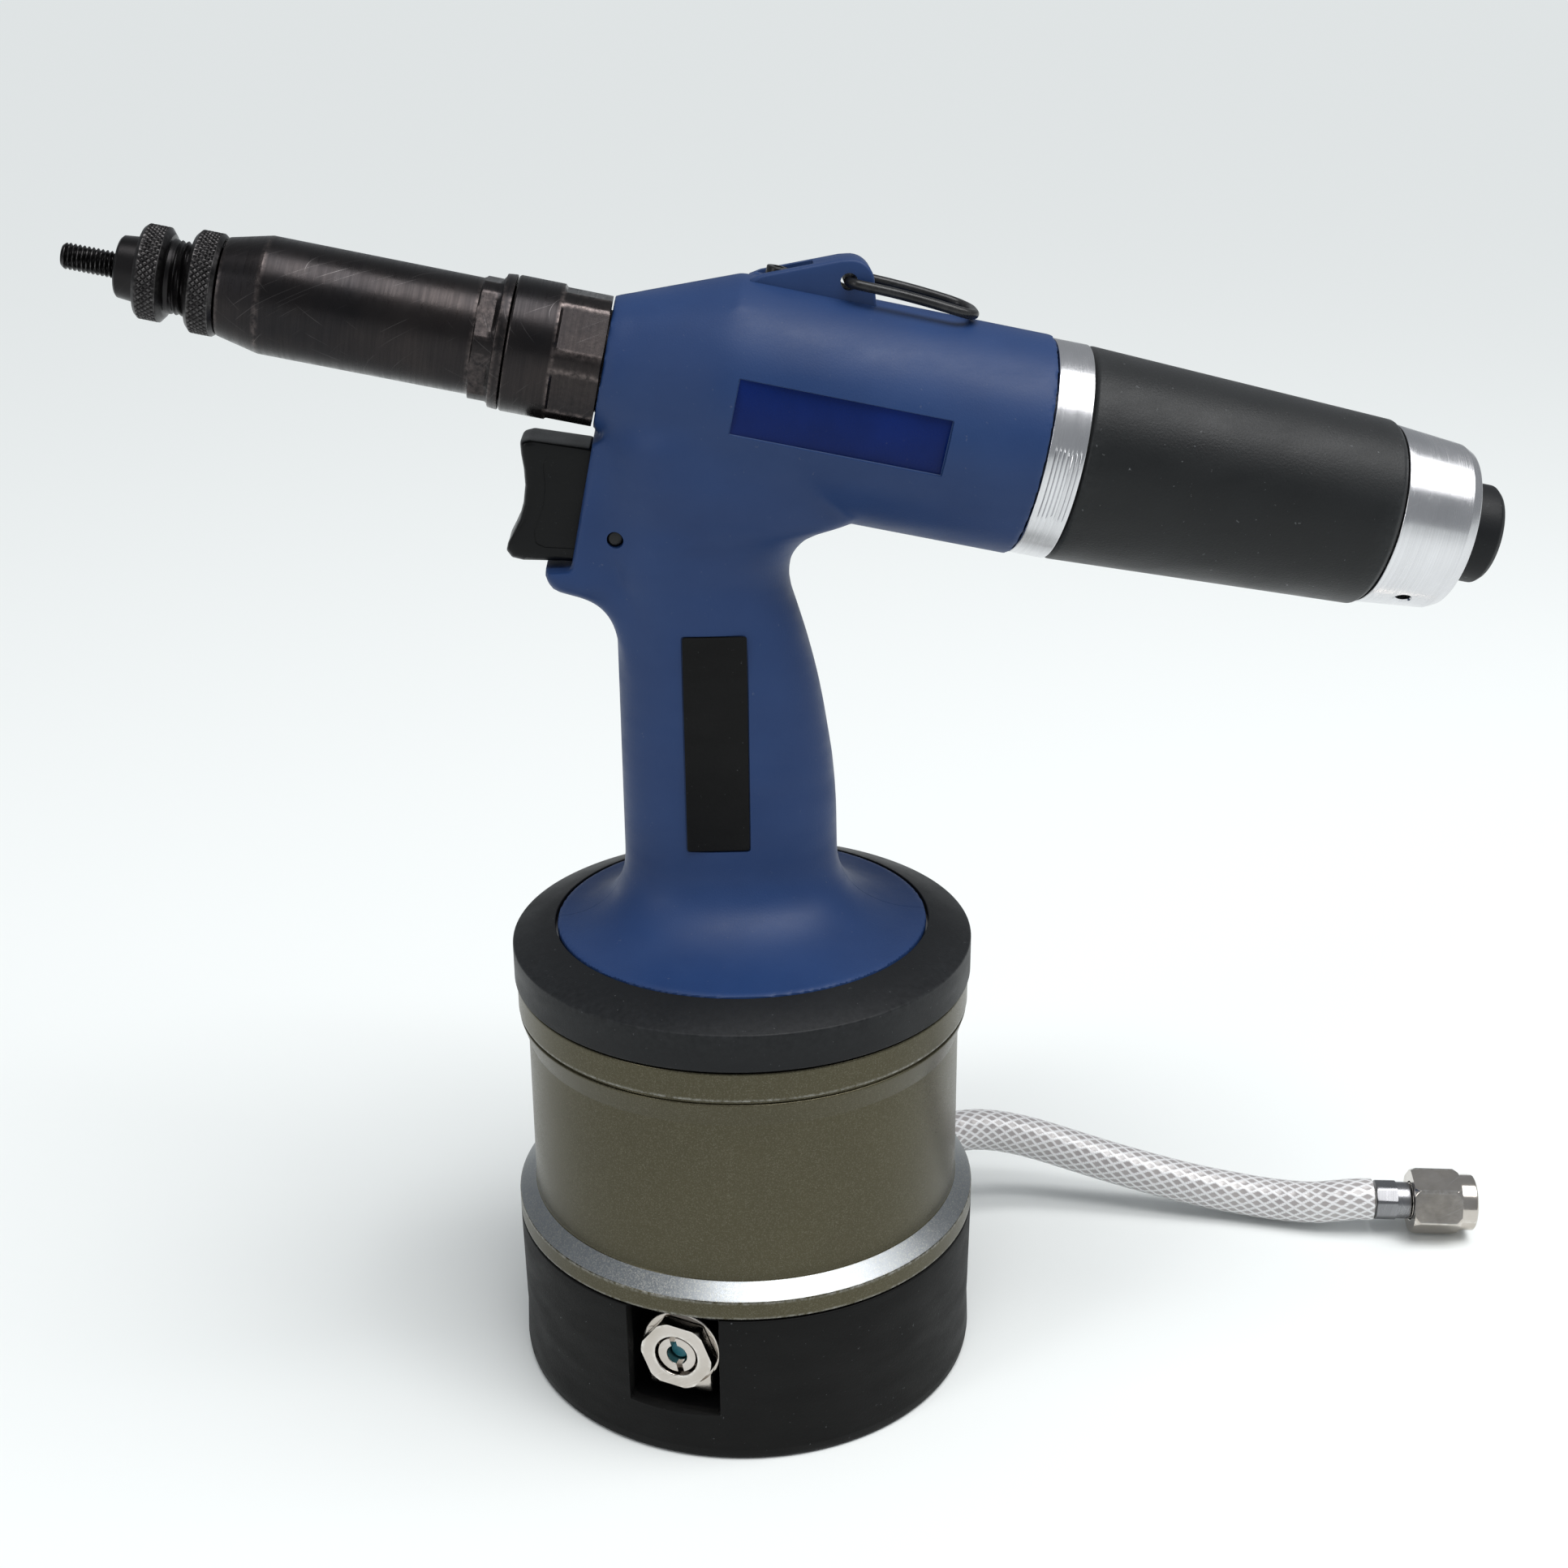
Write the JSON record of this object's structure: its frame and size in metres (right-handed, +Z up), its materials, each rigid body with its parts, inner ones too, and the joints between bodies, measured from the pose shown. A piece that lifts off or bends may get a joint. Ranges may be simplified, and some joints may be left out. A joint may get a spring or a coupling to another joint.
{
  "type": "air-hydraulic rivet-nut gun",
  "caption": "Pistol-grip air-hydraulic rivet-nut gun: base air cylinder, hollow grip, tilted barrel with a threaded pull mandrel, rear reverse button and hose.",
  "frame": {"origin": "centre of the base's round underside, on the surface that the tool stands on", "axes": "+Z up along the air cylinder; the nose points to -X and the reverse button to +X; -Y is the side with the regulator window; the barrel is tilted 12 degrees, nose up"},
  "size_m": [0.3576, 0.1197, 0.2913],
  "materials": {
    "blue": "fine textured moulding",
    "navy": "satin label plate, blank",
    "black": "matte",
    "rubber": "matte",
    "bronze": "anodised, satin",
    "oxide": "black-oxide steel, worn edges",
    "alu": "turned, satin",
    "steel": "turned",
    "nickel": "nickel plated, satin",
    "brass": "turned",
    "teal": "matte",
    "hose": "clear sleeve over a braid"
  },
  "bodies": {
    "root": {"base_cap": "black", "base_manifold": "alu", "air_cylinder": "bronze", "cylinder_head_plate": "alu", "top_ring": "black", "regulator_block": "nickel", "oil_tube": "steel", "air_feed_tube": "brass", "housing_left": "blue", "housing_right": "blue", "nameplate_left": "navy", "nameplate_right": "navy", "grip_pad_left": "rubber", "grip_pad_right": "rubber", "housing_screw_1": "steel", "housing_screw_2": "steel", "housing_screw_3": "steel", "head_body": "alu", "chamber_plug": "steel", "return_spring": "steel", "barrel_adapter": "oxide", "front_barrel": "oxide", "gearbox_case": "steel", "motor_front_plate": "steel", "motor_cylinder": "steel", "motor_rear_plate": "steel", "rear_ring": "alu", "rear_sleeve": "black", "rear_cap": "alu", "button_spring": "steel", "trigger_pin": "steel", "valve_body": "brass", "oil_filler_screw": "oxide", "hose_gland": "nickel", "air_hose": "hose", "hose_ferrule": "steel", "hose_stem": "nickel"},
    "trigger": {"trigger": "black"},
    "valve_stem": {"valve_stem": "steel"},
    "air_piston": {"air_piston": "alu", "piston_seal": "rubber", "piston_rod": "steel"},
    "puller": {"pull_piston": "steel"},
    "mandrel": {"mandrel": "oxide", "mandrel_holder": "steel"},
    "rotor": {"motor_rotor": "steel"},
    "carrier": {"planet_carrier": "steel", "drive_spindle": "steel"},
    "planet_1": {"planet_gear_1": "steel"},
    "planet_2": {"planet_gear_2": "steel"},
    "planet_3": {"planet_gear_3": "steel"},
    "reverse_button": {"reverse_button": "black"},
    "nosepiece": {"nosepiece": "oxide"},
    "lock_nut": {"lock_nut": "oxide"},
    "bail": {"hanging_bail": "oxide"},
    "regulator_screw": {"regulator_screw": "steel", "regulator_core": "teal"},
    "regulator_nut": {"regulator_nut": "nickel"},
    "swivel_nut": {"swivel_nut": "nickel"}
  },
  "joints": [
    {"name": "trigger_pull", "type": "hinge", "parent": "root", "child": "trigger", "pos_m": [-0.0278, 0, 0.2212], "axis": [0, 1, 0], "range_deg": [0, 6], "stiffness_Nm_per_rad": 2},
    {"name": "valve_stem_slide", "type": "slide", "parent": "root", "child": "valve_stem", "axis": [1, 0, 0], "range_m": [0, 0.0013]},
    {"name": "air_piston_lift", "type": "slide", "parent": "root", "child": "air_piston", "axis": [0, 0, 1], "range_m": [0, 0.0465]},
    {"name": "pull_stroke", "type": "slide", "parent": "root", "child": "puller", "axis": [0.9781, 0, -0.2079], "range_m": [0, 0.0062], "deforming": ["return_spring"]},
    {"name": "mandrel_spin", "type": "hinge", "parent": "puller", "child": "mandrel", "pos_m": [-0.09781, 0, 0.27419], "axis": [0.9781, 0, -0.2079], "continuous": true},
    {"name": "motor_spin", "type": "hinge", "parent": "root", "child": "rotor", "pos_m": [0.11738, 0, 0.22845], "axis": [0.9781, 0, -0.2079], "continuous": true},
    {"name": "carrier_spin", "type": "hinge", "parent": "root", "child": "carrier", "pos_m": [0.08216, 0, 0.23594], "axis": [0.9781, 0, -0.2079], "continuous": true},
    {"name": "planet_1_spin", "type": "hinge", "parent": "carrier", "child": "planet_1", "pos_m": [0.09058, 0.0084, 0.23415], "axis": [0.9781, 0, -0.2079], "continuous": true},
    {"name": "planet_2_spin", "type": "hinge", "parent": "carrier", "child": "planet_2", "pos_m": [0.09209, -0.0042, 0.24126], "axis": [0.9781, 0, -0.2079], "continuous": true},
    {"name": "planet_3_spin", "type": "hinge", "parent": "carrier", "child": "planet_3", "pos_m": [0.08906, -0.0042, 0.22703], "axis": [0.9781, 0, -0.2079], "continuous": true},
    {"name": "reverse_button_press", "type": "slide", "parent": "root", "child": "reverse_button", "axis": [-0.9781, 0, 0.2079], "range_m": [0, 0.0035], "stiffness_N_per_m": 800, "deforming": ["button_spring"]},
    {"name": "nosepiece_turn", "type": "hinge", "parent": "root", "child": "nosepiece", "pos_m": [-0.11738, 0, 0.27835], "axis": [0.9781, 0, -0.2079], "continuous": true},
    {"name": "lock_nut_turn", "type": "hinge", "parent": "root", "child": "lock_nut", "pos_m": [-0.1164, 0, 0.27814], "axis": [0.9781, 0, -0.2079], "continuous": true},
    {"name": "bail_swing", "type": "hinge", "parent": "root", "child": "bail", "pos_m": [0.02598, 0, 0.27753], "axis": [0, -1, 0], "range_deg": [0, 170]},
    {"name": "regulator_turn", "type": "hinge", "parent": "root", "child": "regulator_screw", "pos_m": [-0.01785, -0.05097, 0.0268], "axis": [-0.3305, -0.9438, 0], "continuous": true},
    {"name": "regulator_nut_turn", "type": "hinge", "parent": "root", "child": "regulator_nut", "pos_m": [-0.01785, -0.05097, 0.0268], "axis": [-0.3305, -0.9438, 0], "continuous": true},
    {"name": "swivel_nut_spin", "type": "hinge", "parent": "root", "child": "swivel_nut", "pos_m": [0.1908, 0.0326, 0.0099], "axis": [0.9945, -0.1045, 0], "continuous": true}
  ],
  "couplings": [
    {"joint": "valve_stem_slide", "follows": "trigger_pull", "m_per_rad": 0.012},
    {"joint": "pull_stroke", "follows": "air_piston_lift", "ratio": 0.13},
    {"joint": "carrier_spin", "follows": "motor_spin", "ratio": 0.25},
    {"joint": "mandrel_spin", "follows": "motor_spin", "ratio": 0.25},
    {"joint": "planet_1_spin", "follows": "motor_spin", "ratio": -0.75},
    {"joint": "planet_2_spin", "follows": "motor_spin", "ratio": -0.75},
    {"joint": "planet_3_spin", "follows": "motor_spin", "ratio": -0.75}
  ]
}
